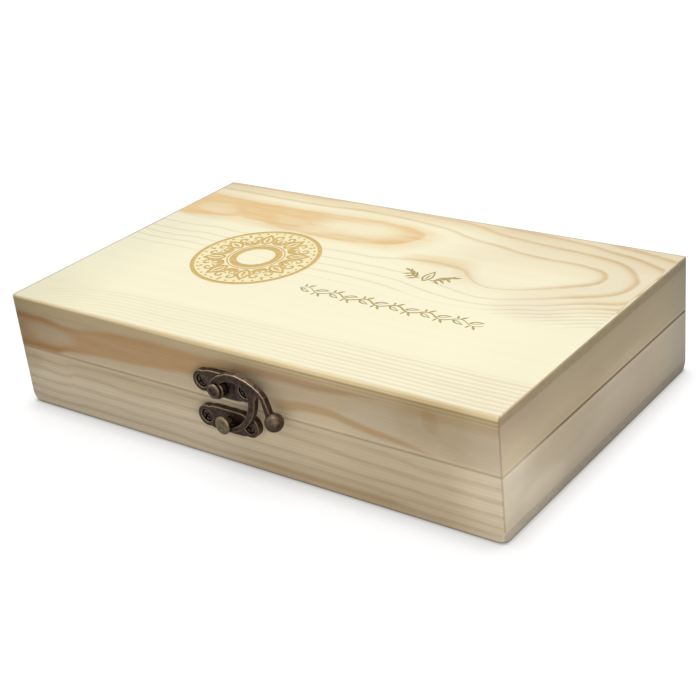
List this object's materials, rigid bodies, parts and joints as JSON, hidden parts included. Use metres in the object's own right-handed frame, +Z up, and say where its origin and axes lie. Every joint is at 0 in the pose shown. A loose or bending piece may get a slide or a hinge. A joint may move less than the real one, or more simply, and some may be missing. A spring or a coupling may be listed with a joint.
{
  "type": "coin display case",
  "caption": "Flat wooden box with a hinged lid, a foam tray of round coin wells, a swing-hook latch on the front and butt hinges on the back.",
  "frame": {"origin": "middle of the bottom panel's underside, on the surface that the case stands on", "axes": "+X along the front, to the right seen from the front; +Y from the front, with the latch, to the back, with the hinges; +Z up"},
  "size_m": [0.24, 0.1593, 0.051],
  "materials": {
    "pine_top": "pale sanded pine with golden growth rings, unvarnished",
    "pine_front": "pale sanded pine, warmer streaks",
    "pine_side": "pale sanded pine, plain",
    "pine_bottom": "pale sanded pine, plain",
    "lining_foam": "dark closed-cell foam with a matt skin",
    "antique_bronze": "dark antique bronze, worn bright at the edges",
    "worn_brass": "antique bronze worn to dull brass"
  },
  "bodies": {
    "base": {"bottom_panel": "pine_bottom", "base_front_wall": "pine_front", "base_back_wall": "pine_front", "base_right_wall": "pine_side", "base_left_wall": "pine_side", "tray_floor": "lining_foam", "coin_tray": "lining_foam", "catch_plate": "antique_bronze", "catch_post": "worn_brass", "catch_screw_left": "antique_bronze", "catch_screw_right": "antique_bronze", "left_hinge_base_leaf": "antique_bronze", "left_hinge_base_screw_a": "antique_bronze", "left_hinge_base_screw_b": "antique_bronze", "left_hinge_pin": "antique_bronze", "right_hinge_base_leaf": "antique_bronze", "right_hinge_base_screw_a": "antique_bronze", "right_hinge_base_screw_b": "antique_bronze", "right_hinge_pin": "antique_bronze"},
    "lid": {"top_panel": "pine_top", "lid_front_wall": "pine_front", "lid_back_wall": "pine_front", "lid_right_wall": "pine_side", "lid_left_wall": "pine_side", "lid_pad": "lining_foam", "latch_plate": "antique_bronze", "hook_rivet": "antique_bronze", "latch_screw_left": "antique_bronze", "latch_screw_right": "antique_bronze", "left_hinge_lid_leaf": "antique_bronze", "left_hinge_lid_screw_a": "antique_bronze", "left_hinge_lid_screw_b": "antique_bronze", "right_hinge_lid_leaf": "antique_bronze", "right_hinge_lid_screw_a": "antique_bronze", "right_hinge_lid_screw_b": "antique_bronze"},
    "hook": {"latch_hook": "antique_bronze"}
  },
  "joints": [
    {"name": "lid_hinge", "type": "hinge", "parent": "base", "child": "lid", "pos_m": [0, 0.07545, 0.02715], "axis": [-1, 0, 0], "range_deg": [0, 110]},
    {"name": "hook_swing", "type": "hinge", "parent": "lid", "child": "hook", "pos_m": [-0.0023, -0.0769, 0.035], "axis": [0, -1, 0], "range_deg": [0, 100]}
  ]
}
